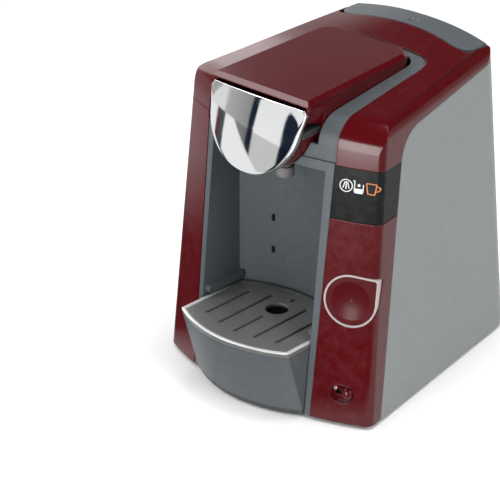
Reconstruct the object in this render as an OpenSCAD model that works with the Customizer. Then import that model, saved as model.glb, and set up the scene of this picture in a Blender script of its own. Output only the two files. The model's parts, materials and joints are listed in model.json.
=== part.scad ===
// Toy coffee maker: a brew lid that lifts, a sprung start button, a sliding power switch,
// a drip tray with a lift-out grille, a lift-out water tank and a battery door.
// Millimetres, +Z up, front towards -Y. The origin is the middle of the footprint, at floor level.

/* [Body] */
// Front of the body on the middle line, at floor level
front_y = -97.4; // [-112:0.2:-92]
// Radius of the bowed front, seen from above
front_r = 200; // [180:1:260]
// Lean of the front towards the rear, degrees
front_lean = 5.9; // [4:0.1:7]
// Half width of the body at floor level, half way along its depth
side_x = 81.8; // [77:0.1:90]
// Narrowing of each side towards the rear, degrees
side_taper = 8.6; // [7:0.1:10]
// Widening of each side towards the top, degrees; below zero it narrows
side_flare = -1.5; // [-2.2:0.1:0]
// Rear of the body on the middle line, at floor level
rear_y = 120; // [112:0.2:140]
// Radius of the bowed rear, seen from above
rear_r = 200; // [170:1:260]
// Lean of the rear towards the front, degrees
rear_lean = 6.9; // [5.5:0.1:8]
// Radii of the rounded corners right and left of the front
right_corner_r = 6; // [3:0.5:8]
left_corner_r = 16; // [10:0.5:18]
// Radius of the rounded corners beside the rear
rear_corner_r = 22; // [14:0.5:26]
// Radius of the rounded edges between the sides and the top
top_edge_r = 9; // [7:0.5:12]
// Height of the crowned top, on the axis of the front
crown_h = 230.9; // [192:0.1:278]
// Fall of the crowned top away from that axis, degrees
crown_pitch = 11.8; // [9:0.1:13]
// Radius of the shoulder between front and top
shoulder_r = 20; // [14:0.5:26]
// Radius between rear and top
rear_shoulder_r = 21; // [14:0.5:26]
// Thickness of the shells
wall = 2.4; // [1.6:0.1:3]
// Gap between neighbouring shells
seam = 0.3; // [0.2:0.05:0.5]
// Height of the shells' lower edge above the floor
skirt_z = 2.6; // [2:0.1:5]

/* [Columns] */
// Distance of the columns' inner edges from the middle, at floor level
column_x = 53.2; // [50:0.1:58]
// Lean of those edges outwards, degrees
column_lean = 0.7; // [0:0.1:1.5]
// Distance from the front to the side seam at floor level
side_wrap = 35.6; // [32:0.2:42]
// Lean of that seam towards the rear, degrees
wrap_lean = 7.8; // [6:0.1:9]
// Height of the display window
display_h = 35.6; // [28:0.2:42]
// Distance from the display's lower edge down to the button's centre
button_drop = 54.5; // [44:0.5:60]
// Radius of the start button's ring
ring_r = 18.2; // [14:0.1:20]
// Travel of the start button
button_travel = 2.5; // [1.5:0.1:3]
// Height of the power switch's centre
switch_z = 23.3; // [18:0.1:28]
// Width and height of the power switch's recess
switch_w = 18; // [15:0.5:20]
switch_h = 14; // [11:0.5:15]
// Travel of the power switch
switch_travel = 7; // [5:0.5:8]

/* [Bay] */
// Half width of the cup bay inside
bay_x = 49; // [45:0.1:50]
// Radius of the bay's rear wall, and where it lies furthest back
bay_r = 92; // [80:1:120]
bay_y = -34; // [-42:0.5:-26]
// Depth of the brow above the bay
brow_h = 7; // [5:0.5:10]

/* [Brew head] */
// Height of the brow's upper seam below the lid's front edge
head_drop = 37; // [33:0.5:41]
// Front edge of the lid's underside, below the crowned top's height
lid_drop = 12.9; // [10:0.1:15]
// Front and rear edges of the lid
lid_front_y = -82; // [-86:0.5:-78]
lid_rear_y = 28.5; // [20:0.5:34]
// Half widths of the lid at its front and rear edges
lid_x_front = 42; // [38:0.1:44]
lid_x_rear = 38.5; // [34:0.1:41]
// Radius of the lid's rear corners
lid_corner_r = 13; // [8:0.5:18]
// Rise of the lid towards the rear, degrees
lid_rise = 1.7; // [1:0.1:3]
// Thickness of the lid at its rim
lid_t = 3.6; // [3:0.1:5]
// Width of the bevel round the lid
lid_bevel = 3; // [2:0.1:4]
// Lean of the head's face, degrees
face_lean = 14.6; // [10:0.1:17]
// Fall of the head's underside towards the rear, degrees
head_fall = 6; // [3:0.5:8]
// Radius of the head's round lower half
head_r = 37.9; // [35:0.1:39]
// Depth of the head's lowest point below the lid's front edge
head_h = 51.2; // [48:0.1:55]
// Bulge radius of the bright face cap
cap_bulge_r = 220; // [180:5:300]
// Radius of the spout
nozzle_r = 6.3; // [5:0.1:7]
// Radius of the capsule disc that the holder takes
disc_r = 26.8; // [22:0.1:28]

/* [Collar] */
// Half width of the collar at its rear edge
collar_x = 48.2; // [45:0.1:52]
// Rear edge of the collar
collar_rear_y = 36.5; // [32:0.5:42]
// Widening of the collar towards the front, degrees
collar_taper = 4.1; // [3:0.1:5]
// Depth of the collar's surface below the crown
collar_sink = 1; // [0.6:0.1:2]

/* [Drip tray] */
// Height of the grille's upper face
grille_z = 54; // [44:0.5:60]
// Foremost point of the grille
tray_front_y = -121; // [-126:0.5:-112]
// Radius of the tray's bowed front
tray_r = 93; // [80:1:120]
// Lean of the tray's front face, degrees
tray_lean = 17.4; // [10:0.1:22]
// Distance between the grille's slots
slot_pitch = 15.8; // [13:0.1:17]
// Width of the grille's slots
slot_w = 2.4; // [2:0.1:3.5]
// Radius of the drain hole
drain_r = 8; // [6:0.1:10]

/* [Water tank] */
// Front of the tank lid on the middle line
tank_front_y = 66.5; // [60:0.5:70]
// Half width of the tank lid
tank_lid_x = 57; // [48:0.5:60]
// Clearance round the tank lid
tank_gap = 0.7; // [0.5:0.05:0.9]
// Half width of the tank
tank_x = 48; // [40:0.5:52]
// Height of the tank's floor
tank_floor_z = 52; // [40:1:70]

/* [Batteries] */
// Length and diameter of one cell
cell_l = 50.2; // [44:0.1:51]
cell_d = 14.2; // [10:0.1:15]
// Number of cells
cells = 3; // [2:1:3]

/* [Hidden] */
$fn = 96;
below = 40;
reach = 400;

front_axis_y = front_y + front_r / cos(front_lean);
rear_axis_y = rear_y - rear_r / cos(rear_lean);
rear_crown_h = crown_h - 13.6;
rear_pitch = 3.2;
lid_z = crown_h - lid_drop;
collar_z = lid_z - head_drop;
bay_top = collar_z - brow_h;
display_top = collar_z - 1.2;
display_bottom = display_top - display_h;
left_seam_z = collar_z + 5;
button_z = display_bottom - button_drop;
tray_x = bay_x - 0.6;
tray_floor_z = skirt_z + 2.8;
tank_top_z = crown_h - 25;
rear_seam_z = tank_top_z - 10;

// Half width of the body at a depth and a height
function side_at(y, z) = side_x - y * tan(side_taper) + z * tan(side_flare) / cos(side_taper);
// Depth of the front surface at a half width and a height
function front_at(x, z) =
    front_axis_y + z * tan(front_lean) - sqrt(front_r * front_r - x * x) / cos(front_lean);
// Depth of the rear surface at a half width and a height
function rear_at(x, z) =
    rear_axis_y - z * tan(rear_lean) + sqrt(rear_r * rear_r - x * x) / cos(rear_lean);
// Height of a point of the front, measured along the leaning axis
function front_h(x, z) = (front_at(x, z) - front_axis_y) * sin(front_lean) + z * cos(front_lean);
// Distance of the columns' inner edges from the middle at a height
function column_at(z) = column_x + z * tan(column_lean);
// Height of the crowned top, found in a few rounds because its radius depends on the height
function crown_at(x, y, z = crown_h, rounds = 4) =
    rounds == 0 ? z : crown_at(x, y, crown_step(x, y, z), rounds - 1);
function crown_step(x, y, z) =
    let(w = (y - front_axis_y) * cos(front_lean) - z * sin(front_lean))
    (crown_h - tan(crown_pitch) * sqrt(x * x + w * w) - (y - front_axis_y) * sin(front_lean))
    / cos(front_lean);
// Height of the lid's underside at a depth
function lid_at(y) = lid_z + (y - lid_front_y) * tan(lid_rise);

// Half width of the body where a side meets the front or the rear, found in a few rounds
function front_corner_x(z, x = 60, rounds = 6) =
    rounds == 0 ? x : front_corner_x(z, side_at(front_at(x, z), z), rounds - 1);
function rear_corner_x(z, x = 60, rounds = 6) =
    rounds == 0 ? x : rear_corner_x(z, side_at(rear_at(x, z), z), rounds - 1);
front_turn = asin(front_corner_x(crown_h / 2) / front_r);
rear_turn = asin(rear_corner_x(crown_h / 2) / rear_r);
corner_proud = 0.05;
// Points on the axes of the rounded front and rear corners
function front_corner_at(z, r) = let(x = front_corner_x(z), a = (side_taper - 90 + front_turn) / 2,
    back = r / cos((side_taper + 90 - front_turn) / 2))
    [x - back * cos(a), front_at(x, z) - back * sin(a), z];
function rear_corner_at(z) = let(x = rear_corner_x(z), a = (side_taper + 90 - rear_turn) / 2,
    back = rear_corner_r / cos((90 - rear_turn - side_taper) / 2))
    [x - back * cos(a), rear_at(x, z) - back * sin(a), z];
// Points on the axis of the rounded edge between side and top
function top_edge_at(y) = let(z0 = crown_at(side_at(y, crown_h), y), z = crown_at(side_at(y, z0), y),
    back = top_edge_r * tan((90 - edge_pitch) / 2))
    [side_at(y, z - back) - top_edge_r / cos(side_taper), y, z - back];
edge_pitch = 8;

column_mid = (column_at(button_z) + side_at(front_at(side_x, button_z), button_z)) / 2;
button_x = column_mid + 1.1;
switch_x = column_mid + 1;
hinge_y = lid_rear_y - 3;
hinge_r = 2.5;
hinge_z = lid_at(hinge_y) - hinge_r - 0.3;
pin_r = 1.5;
pin_play = 0.08;

// ---------------------------------------------------------------- shared forms

// A solid of revolution about a leaning axis, with a sloping top and a round shoulder
module revolved(axis_y, lean, r, h, pitch, shoulder) {
    cr = r - shoulder;
    ch = h - tan(pitch) * cr - shoulder / cos(pitch);
    translate([0, axis_y, 0]) rotate([-lean, 0, 0]) rotate_extrude($fn = 180) union() {
        polygon([[0, -below], [r, -below], [r, ch],
            [cr + shoulder * sin(pitch), ch + shoulder * cos(pitch)], [0, h]]);
        translate([cr, ch]) circle(shoulder);
    }
}

// The bowed, leaning front with its shoulder and the crowned top
module front_form(inset = 0) revolved(front_axis_y, front_lean, front_r - inset,
    crown_h - inset / cos(crown_pitch), crown_pitch, shoulder_r - inset);

// The bowed, leaning rear with its own shoulder
module rear_form(inset = 0) revolved(rear_axis_y, -rear_lean, rear_r - inset,
    rear_crown_h - inset / cos(rear_pitch), rear_pitch, rear_shoulder_r - inset);

// Everything on the inner side of one side wall
module side_half(side, inset) mirror([side < 0 ? 1 : 0, 0, 0]) translate([side_x, 0, 0])
    rotate([0, 0, side_taper]) rotate([0, side_flare, 0])
    translate([-reach - inset, -reach, -below]) cube([reach, 2 * reach, reach + below]);

// Everything on the inner side of one rounded edge that runs from p to q: a cylinder, with all
// that lies behind the two planes through its axis, which face the directions a1 and a2
module edge_half(side, p, q, r, a1, a2) {
    run = q - p;
    tilt = acos(run[2] / norm(run));
    azimuth = atan2(run[1], run[0]);
    mirror([side < 0 ? 1 : 0, 0, 0]) translate(p) rotate([0, tilt, azimuth]) {
        translate([0, 0, -below]) cylinder(r = r, h = 2 * reach);
        for (a = [a1, a2]) rotate([0, 0, a - azimuth]) translate([-reach, -reach, -reach])
            cube([reach, 2 * reach, 3 * reach]);
    }
}

module front_corner(side, inset) {
    r = side > 0 ? right_corner_r : left_corner_r;
    edge_half(side, front_corner_at(-below, r), front_corner_at(crown_h, r), r + corner_proud - inset,
        side_taper - 90, front_turn);
}

module rear_corner(side, inset) edge_half(side, rear_corner_at(-below), rear_corner_at(crown_h),
    rear_corner_r + corner_proud - inset, side_taper + 90, -rear_turn);

// Everything on the inner side of the rounded edge between one side and the top
module top_edge(side, inset) {
    p = top_edge_at(-80);
    q = top_edge_at(100);
    run = q - p;
    rise = asin(run[2] / norm(run));
    swing = atan2(-run[0], run[1]);
    mirror([side < 0 ? 1 : 0, 0, 0]) translate(p) rotate([0, 0, swing]) rotate([rise, 0, 0]) {
        rotate([-90, 0, 0]) translate([0, 0, -reach])
            cylinder(r = top_edge_r + corner_proud - inset, h = 3 * reach);
        translate([-2 * reach, -reach, -2 * reach]) cube([4 * reach, 3 * reach, 2 * reach]);
        rotate([0, edge_pitch, 0]) translate([-2 * reach, -reach, -2 * reach])
            cube([2 * reach, 3 * reach, 4 * reach]);
    }
}

// The outer form of the body, moved inwards by the inset
module skin(inset = 0) intersection() {
    front_form(inset);
    rear_form(inset);
    side_half(1, inset);
    side_half(-1, inset);
    front_corner(1, inset);
    front_corner(-1, inset);
    rear_corner(1, inset);
    rear_corner(-1, inset);
    top_edge(1, inset);
    top_edge(-1, inset);
}

// The same form where only the front and one front corner matter
module column_form(side, inset) intersection() {
    front_form(inset);
    side_half(side, inset);
    front_corner(side, inset);
}

// A slab of space between two heights
module slab(z1, z2) translate([-reach / 2, -reach / 2, z1]) cube([reach, reach, z2 - z1]);

// A 2D outline in X and Z, run through the whole depth
module through_y(y1 = -reach / 2, y2 = reach / 2) translate([0, y2, 0]) rotate([90, 0, 0])
    linear_extrude(y2 - y1) children();

// A 2D outline in Y and Z, run sideways
module through_x(x1, x2) translate([x1, 0, 0]) rotate([90, 0, 90]) linear_extrude(x2 - x1) children();

// A place on the front surface: local Z points out of it, local X to the right
module on_front(x, z) translate([0, front_axis_y, 0]) rotate([-front_lean, 0, 0])
    rotate([0, 0, asin(x / front_r)]) translate([0, -front_r, front_h(x, z)])
    rotate([90, 0, 0]) children();

// The region of the side panels, seen from the side; grow moves its edges outwards. The corner
// between its front edge and its upper edge is rounded off
module side_outline(grow = 0) {
    r = panel_r + grow;
    rs = r - 0.15;
    z1 = display_top - 4.6;
    y1 = front_at(0, 0) + side_wrap + z1 * tan(wrap_lean) + panel_r / cos(wrap_lean);
    front_dir = [-cos(wrap_lean), sin(wrap_lean)];
    top_dir = [-sin(panel_rise), cos(panel_rise)];
    tip = [y1, z1] + (front_dir + top_dir) * rs / (1 + front_dir * top_dir);
    difference() {
        polygon([[tip[0] - (tip[1] + below) * tan(wrap_lean), -below], tip,
            [reach / 2, tip[1] + (reach / 2 - tip[0]) * tan(panel_rise)], [reach / 2, -below]]);
        difference() {
            polygon([[y1, z1], [y1, z1] + front_dir * (r + 4), [y1, z1] + (front_dir + top_dir) * r * 1.5,
                [y1, z1] + top_dir * (r + 4)]);
            translate([y1, z1]) circle(r);
        }
    }
}
panel_r = 24;
panel_rise = 6.1;

// The region of one side panel, with the cover's lip left round it at the rear shoulder
module side_zone(side, grow = 0) intersection() {
    mirror([side < 0 ? 1 : 0, 0, 0]) through_x(rear_split - grow, reach / 2) side_outline(grow);
    union() {
        rear_form(rear_lip - grow);
        slab(-below, rear_seam_z + grow);
    }
}
rear_split = tank_lid_x + tank_gap;
rear_lip = 5;

// The inside of the side and rear walls, open at the top
module core(inset) intersection() {
    rear_form(inset);
    side_half(1, inset);
    side_half(-1, inset);
    front_corner(1, inset);
    front_corner(-1, inset);
    rear_corner(1, inset);
    rear_corner(-1, inset);
    top_edge(1, inset);
    top_edge(-1, inset);
}

// The collar's outer outline, seen from above
module collar_outline(grow = 0) {
    x = collar_x + grow;
    y = collar_rear_y + grow;
    r = 14 + grow;
    spread = tan(collar_taper) * (y + reach / 4);
    union() {
        polygon([[-x - spread, -reach / 4], [x + spread, -reach / 4], [x + tan(collar_taper) * r, y - r],
            [x - r, y], [r - x, y], [-x - tan(collar_taper) * r, y - r]]);
        for (side = [-1, 1]) translate([side * (x - r + tan(collar_taper) * r / 2), y - r]) circle(r);
    }
}

// The lid's outline, seen from above
module lid_outline(grow = 0, front = lid_front_y) {
    r = lid_corner_r + grow;
    y = lid_rear_y + grow;
    slope = (lid_x_front - lid_x_rear) / (lid_rear_y - lid_front_y);
    x1 = lid_x_rear + grow + slope * r;
    x2 = lid_x_rear + grow + slope * (y - front);
    union() {
        polygon([[-x2, front], [x2, front], [x1, y - r], [x1 - r, y], [r - x1, y], [-x1, y - r]]);
        for (side = [-1, 1]) translate([side * (x1 - r), y - r]) circle(r);
    }
}

// Everything below the lid's underside, moved up by the offset
module under_lid(offset = 0) translate([0, lid_front_y, lid_z + offset]) rotate([lid_rise, 0, 0])
    translate([-reach / 2, -reach / 2, -reach]) cube([reach, reach, reach]);

// A place on the leaning face of the head: local Z runs up the face, local -Y points out of it
module on_face() translate([0, lid_front_y + 1.5, lid_z - 2.5]) rotate([-face_lean, 0, 0]) children();

// The D-shaped outline of the head: round below, slightly flared above
module face_outline(grow = 0) {
    r = head_r + grow;
    rs = r - 0.15;
    flare = 12;
    top = 40;
    x1 = rs * cos(flare);
    y1 = -rs * sin(flare);
    x2 = x1 + (top - y1) * tan(flare);
    union() {
        circle(r);
        polygon([[x1, y1], [x2, top], [-x2, top], [-x1, y1]]);
    }
}

// The bay's inner outline, seen from above; shrink moves its walls inwards
module bay_outline(shrink = 0) intersection() {
    translate([0, bay_y - bay_r]) circle(bay_r - shrink, $fn = 180);
    translate([shrink - bay_x, -reach / 2]) square([2 * (bay_x - shrink), reach]);
}

// The head's D-shaped nose, run backwards and slightly down from in front of its face
module nose(grow, y2) translate([0, lid_front_y - 12, lid_z - head_h + head_r])
    rotate([-head_fall, 0, 0]) through_y(-20, y2 - lid_front_y + 12) face_outline(grow);

// Everything behind the leaning face, moved backwards by the inset
module behind_face(inset = 0) on_face() translate([-reach / 2, inset, -reach / 2]) cube(reach);

// The prism under the lid, from in front of the head to the lid's rear edge
module lid_prism(grow, z1) translate([0, 0, z1]) linear_extrude(crown_h + 20 - z1)
    lid_outline(grow, lid_front_y - 40);

// Outer form of the brew head, from its face to the hinge
module head_form(grow = 0) {
    intersection() {
        nose(grow, nose_back_y + grow);
        lid_prism(grow - 0.3, 0);
    }
    intersection() {
        lid_prism(grow - 0.3, head_box_z - grow);
        translate([-reach / 2, head_box_y - grow, 0]) cube(reach);
    }
}
nose_back_y = bay_y + 4;
head_box_z = bay_top + 4.5;
head_box_y = lid_front_y + 16;
cavity_z = lid_z - 22;

// ---------------------------------------------------------------- body shells

module side_panel(side) color("silver") intersection() {
    difference() {
        intersection() {
            side_zone(side);
            core(0);
        }
        core(wall);
        tank_zone(tank_gap);
    }
    slab(skirt_z, crown_h);
}

module left_side_panel() side_panel(-1);

module right_side_panel() side_panel(1);

module rear_cover() color("silver") difference() {
    intersection() {
        core(0);
        translate([seam - rear_split, 0, skirt_z])
            cube([2 * (rear_split - seam), reach, tank_top_z - seam - skirt_z]);
    }
    core(wall);
}

// The region of the tank lid: a band across the rear of the top
module tank_zone(grow = 0, r = 9) translate([0, 0, tank_top_z - grow]) linear_extrude(reach / 4)
    tank_outline(grow, r);

// That band from above: rounded at both ends, with a hollow bow in front
module tank_outline(grow, r) {
    x = tank_lid_x + grow;
    y = tank_front_y - 5;
    bow_r = 190;
    difference() {
        union() {
            translate([-x, y + r]) square([2 * x, reach / 4]);
            translate([r - tank_lid_x, y - grow]) square([2 * (tank_lid_x - r), reach / 4]);
            for (side = [-1, 1]) translate([side * (tank_lid_x - r), y + r]) circle(r + grow);
        }
        translate([0, tank_front_y - bow_r]) circle(bow_r - grow, $fn = 180);
    }
}

module top_cover() color("darkred") difference() {
    intersection() {
        skin();
        slab(display_top, crown_h + 20);
    }
    skin(wall);
    side_zone(1, seam);
    side_zone(-1, seam);
    linear_extrude(crown_h + 20) collar_outline(0);
    // the opening for the tank lid has tighter corners than the lid, which leaves room for a fingertip
    tank_zone(tank_gap, 3);
    // the left shoulder ends a little higher than the right one
    translate([-reach, -reach / 2, 0]) cube([reach, reach / 2 - 20, left_seam_z]);
    // behind, the cover ends level with the rear seam and leaves room for the rear cover
    translate([-reach / 2, 40, 0]) cube([reach, reach, rear_seam_z]);
    translate([-rear_split, 40, 0]) cube([2 * rear_split, reach, tank_top_z]);
}

// The front region of one column between two heights
module column_zone(side, z1, z2) mirror([side < 0 ? 1 : 0, 0, 0]) intersection() {
    through_y() polygon([[column_at(z1), z1], [reach / 2, z1], [reach / 2, z2], [column_at(z2), z2]]);
    translate([0, -reach / 2, 0]) cube([reach, reach / 2, reach]);
}

module column_shell(side, z1, z2, inset = 0, thick = wall) difference() {
    intersection() {
        column_form(side, inset);
        column_zone(side, z1, z2);
    }
    column_form(side, inset + thick);
    side_zone(side, seam);
}

module left_column_panel() color("darkred") difference() {
    column_shell(-1, skirt_z, left_seam_z - seam);
    translate([0, 0, collar_z - seam]) linear_extrude(crown_h) collar_outline(0);
}

module right_column_panel() color("darkred") difference() {
    column_shell(1, skirt_z, display_bottom - seam);
    on_front(button_x, button_z) translate([0, 0, -20]) linear_extrude(40) button_outline(seam / 2);
    on_front(switch_x, switch_z) translate([0, 0, -20]) linear_extrude(40) switch_outline(0);
}

module display_window() color([0.05, 0.05, 0.05])
    column_shell(1, display_bottom, display_top - seam, 0.2, wall);

// ---------------------------------------------------------------- bay, collar and head

module bay_liner() color("dimgray") difference() {
    union() {
        // flange round the opening
        difference() {
            intersection() {
                front_form(0.4);
                through_y() polygon([
                    [seam - column_at(skirt_z), skirt_z], [column_at(skirt_z) - seam, skirt_z],
                    [column_at(collar_z) - seam, collar_z - seam],
                    [seam - column_at(collar_z), collar_z - seam]]);
                translate([-reach / 2, -reach / 2, 0]) cube([reach, reach / 2, reach]);
            }
            front_form(0.4 + wall);
            translate([-bay_x, -reach / 2, 0]) cube([2 * bay_x, reach, bay_top]);
        }
        // side walls, rear wall and ceiling
        intersection() {
            difference() {
                translate([0, 0, tray_floor_z]) linear_extrude(bay_top + 2 - tray_floor_z) bay_outline(-2);
                linear_extrude(bay_top) bay_outline();
            }
            front_form(1.2);
        }
        // cup rails just above the grille
        for (side = [0, 1]) mirror([side, 0, 0]) through_x(bay_x - rail_w, bay_x + 1) rail_profile();
    }
    nose(0.4, nose_back_y + 10);
    // hooking slots in the rear wall
    for (side = [-1, 1], z = [78, 102])
        translate([side * 27 - 1.2, bay_y - 20, z]) cube([2.4, 30, 5]);
}
rail_w = 4;

module rail_profile() union() {
    translate([-80, grille_z + 2.5]) square([32, 5.5]);
    translate([-80, grille_z + 5.25]) circle(2.75);
}

module collar() color("slategray") difference() {
    intersection() {
        front_form(collar_sink);
        linear_extrude(crown_h + 20) collar_outline(-seam);
        slab(collar_z, crown_h + 20);
    }
    front_form(collar_sink + wall);
    intersection() {
        nose(0.5, 0);
        lid_prism(0.3, 0);
    }
    // a little longer than the lid, so that its rear edge can turn down
    translate([0, 3, 0]) lid_prism(0.3, head_box_z + 12);
}

// The housing under the lid: the nose in front, an open box behind, and the posts of the hinge
module head_housing() color("darkred") difference() {
    union() {
        difference() {
            intersection() {
                head_form();
                under_lid(-0.35);
                behind_face();
            }
            // room above the capsule holder
            intersection() {
                lid_prism(-0.3 - wall, cavity_z);
                behind_face(wall);
            }
            // hollow nose
            intersection() {
                nose(-wall, nose_back_y - wall);
                behind_face(wall);
                slab(0, cavity_z + 1);
            }
            // hollow box under the capsule holder
            intersection() {
                lid_prism(-0.3 - wall, head_box_z + wall);
                translate([-reach / 2, nose_back_y + 2, 0]) cube(reach);
                slab(0, cavity_z + 1);
            }
            // finger gap under the lid's front edge
            translate([wall - lid_x_front + 1, lid_front_y - 20, lid_z - 3.2])
                cube([2 * (lid_x_front - wall - 1), 28, 20]);
            // room for the lid's rear edge as it turns down
            translate([-reach / 2, hinge_y - 0.3, hinge_z - hinge_r - 0.6]) cube(reach);
        }
        for (side = [-1, 1]) hinge_post(side);
    }
    translate([0, nozzle_y, 0]) cylinder(r = nozzle_r - 1.2, h = cavity_z - 4);
    translate([0, nozzle_y, tube_z]) rotate([-90, 0, 0]) cylinder(r = tube_r + 0.4, h = 60);
    translate([0, hinge_y, hinge_z]) rotate([0, 90, 0]) cylinder(r = pin_r, h = reach, center = true);
}
nozzle_y = -56.3;

module hinge_post(side) through_x(side * post_x - 1.5, side * post_x + 1.5) union() {
    translate([hinge_y, hinge_z]) circle(hinge_r);
    translate([hinge_y - hinge_r, head_box_z + 1]) square([hinge_r + 1.2, hinge_z - head_box_z - 1]);
}
ear_x = 26;
post_x = ear_x + 3.8;

module chrome_cap() color("gainsboro") difference() {
    intersection() {
        nose(0.8, 0);
        lid_prism(0.5, 0);
        on_face() translate([0, cap_bulge_r - cap_proud, -head_h / 2]) sphere(cap_bulge_r, $fn = 400);
        on_face() translate([-reach / 2, -reach, -reach]) cube([reach, reach, reach]);
    }
    cap_recess();
}

cap_proud = 5;

// The recess behind the cap's rim
module cap_recess() intersection() {
    nose(-1.4, 0);
    on_face() translate([-reach / 2, -1.2, -reach]) cube([reach, reach, reach - 2]);
}

module nozzle() color("gainsboro") translate([0, nozzle_y, 0]) rotate_extrude() difference() {
    polygon([[0, nozzle_z], [nozzle_r - 0.8, nozzle_z], [nozzle_r, nozzle_z + 0.8],
        [nozzle_r, nozzle_z + 7.4], [nozzle_r - 1.4, nozzle_z + 7.4], [nozzle_r - 1.4, nozzle_z + 12],
        [3, nozzle_z + 12], [3, nozzle_z + 15], [0, nozzle_z + 15]]);
    square([1.8, crown_h]);
}
nozzle_z = lid_z - 67;
tube_z = nozzle_z + 24;
tube_r = 2.2;

// Plate with the round seat that takes a capsule disc
module disc_holder() color("dimgray") difference() {
    intersection() {
        lid_prism(-0.6 - wall, cavity_z);
        behind_face(wall + 0.3);
        slab(cavity_z, cavity_z + holder_t);
        translate([-reach / 2, hinge_y - 5 - reach, 0]) cube(reach);
    }
    translate([0, disc_y, cavity_z + 1.4]) cylinder(r = disc_r, h = 10);
    translate([0, disc_y, cavity_z - 10]) cylinder(r = 5, h = 20);
    translate([0, disc_y - disc_r, cavity_z + 1.4]) cylinder(r = 7, h = 10);
}
holder_t = 4.6;
disc_y = -40;

// The lid's own frame: its front edge on the middle line, rising towards the rear
module lid_frame() translate([0, lid_front_y, lid_z]) rotate([lid_rise, 0, 0])
    translate([0, -lid_front_y, 0]) children();

module brew_lid() color("darkred") difference() {
    union() {
        lid_frame() difference() {
            linear_extrude(lid_t) lid_outline();
            lid_bevels();
            // hollow underside
            translate([0, 0, -1]) linear_extrude(lid_t - 1) lid_outline(-2, lid_front_y + 2);
        }
        for (side = [-1, 1]) lid_ear(side);
    }
    translate([0, hinge_y, hinge_z]) rotate([0, 90, 0])
        cylinder(r = pin_r + pin_play, h = reach, center = true);
}

// The space above the bevels round the lid's top, in the lid's frame
module lid_bevels() {
    b = lid_bevel;
    r = lid_corner_r;
    slope = atan((lid_x_front - lid_x_rear) / (lid_rear_y - lid_front_y));
    cx = lid_x_rear + tan(slope) * r - r;
    translate([0, lid_front_y + b, lid_t]) rotate([45, 0, 0])
        translate([-reach / 2, -reach / 2, 0]) cube(reach);
    translate([0, lid_rear_y - b, lid_t]) rotate([-45, 0, 0])
        translate([-reach / 2, -reach / 2, 0]) cube(reach);
    for (side = [0, 1]) mirror([side, 0, 0]) {
        translate([lid_x_front - b, lid_front_y, lid_t]) rotate([0, 0, slope]) rotate([0, 45, 0])
            translate([-reach / 2, -reach / 2, 0]) cube(reach);
        translate([cx, lid_rear_y - r, lid_t - b]) difference() {
            cube([r + 2, r + 2, b + 2]);
            translate([0, 0, -1]) cylinder(r1 = r + 1, r2 = r - b - 3, h = b + 4);
        }
    }
}

// One hinge ear under the lid
module lid_ear(side) through_x(side * ear_x - 2, side * ear_x + 2) union() {
    translate([hinge_y, hinge_z]) circle(hinge_r);
    translate([hinge_y - hinge_r, hinge_z]) square([2 * hinge_r, hinge_r + lid_t - 1]);
}

// The round press plate under the lid that holds a disc down
module lid_inner_plate() color("dimgray") lid_frame() translate([0, disc_y, lid_t - 2])
    rotate_extrude() polygon([[0, 0], [disc_r - 1, 0], [disc_r - 1, -6],
        [disc_r - 3, -6], [disc_r - 3, -2], [6, -2], [6, -9], [4, -11], [0, -11]]);

module lid_hinge_pins() color("silver") for (side = [-1, 1])
    translate([side * (ear_x + 1.65), hinge_y, hinge_z]) rotate([0, 90, 0])
    cylinder(r = pin_r, h = 7.3, center = true);

// ---------------------------------------------------------------- start button

// A circle with one squared corner, up and to the right
module button_outline(grow = 0) {
    r = ring_r + grow;
    union() {
        circle(r);
        square([r - 1.6, r]);
        square([r, r - 1.6]);
        translate([r - 1.6, r - 1.6]) circle(1.6);
    }
}

module button_ring() color("gainsboro") on_front(button_x, button_z) difference() {
    translate([0, 0, -5]) linear_extrude(5.4) button_outline();
    translate([0, 0, -6]) linear_extrude(8) button_outline(-1.3);
}

module start_button() color("darkred") on_front(button_x, button_z) union() {
    difference() {
        translate([0, 0, -4]) linear_extrude(4) button_outline(-1.3 - 0.3);
        translate([0, 0, 41.2 - 2.2]) sphere(41.2, $fn = 160);
    }
    translate([0, 0, -stem_z]) cylinder(r = stem_r, h = stem_z - 3.5);
}
stem_r = 3;
stem_z = 12.5;
cup_z = 12;

module button_spring() color("silver") on_front(button_x, button_z)
    coil(4.6, 0.35, 0.02 + 1.5 - cup_z, -4.3 - button_travel, 3);

// A coil spring: rings of points along a helix
module coil(r, wire_r, z1, z2, turns) {
    steps = 14;
    sides = 5;
    rings = turns * steps;
    rise = (z2 - z1 - 2 * wire_r) / rings;
    points = [for (i = [0:rings], j = [0:sides - 1])
        let(a = 360 * i / steps, b = 360 * j / sides, q = r + wire_r * cos(b))
        [q * cos(a), q * sin(a), z1 + wire_r + rise * i + wire_r * sin(b)]];
    faces = concat(
        [for (i = [0:rings - 1], j = [0:sides - 1]) let(k = (j + 1) % sides)
            [i * sides + j, i * sides + k, (i + 1) * sides + k]],
        [for (i = [0:rings - 1], j = [0:sides - 1]) let(k = (j + 1) % sides)
            [i * sides + j, (i + 1) * sides + k, (i + 1) * sides + j]],
        [[for (j = [sides - 1:-1:0]) j]],
        [[for (j = [0:sides - 1]) rings * sides + j]]);
    polyhedron(points, faces);
}

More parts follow.
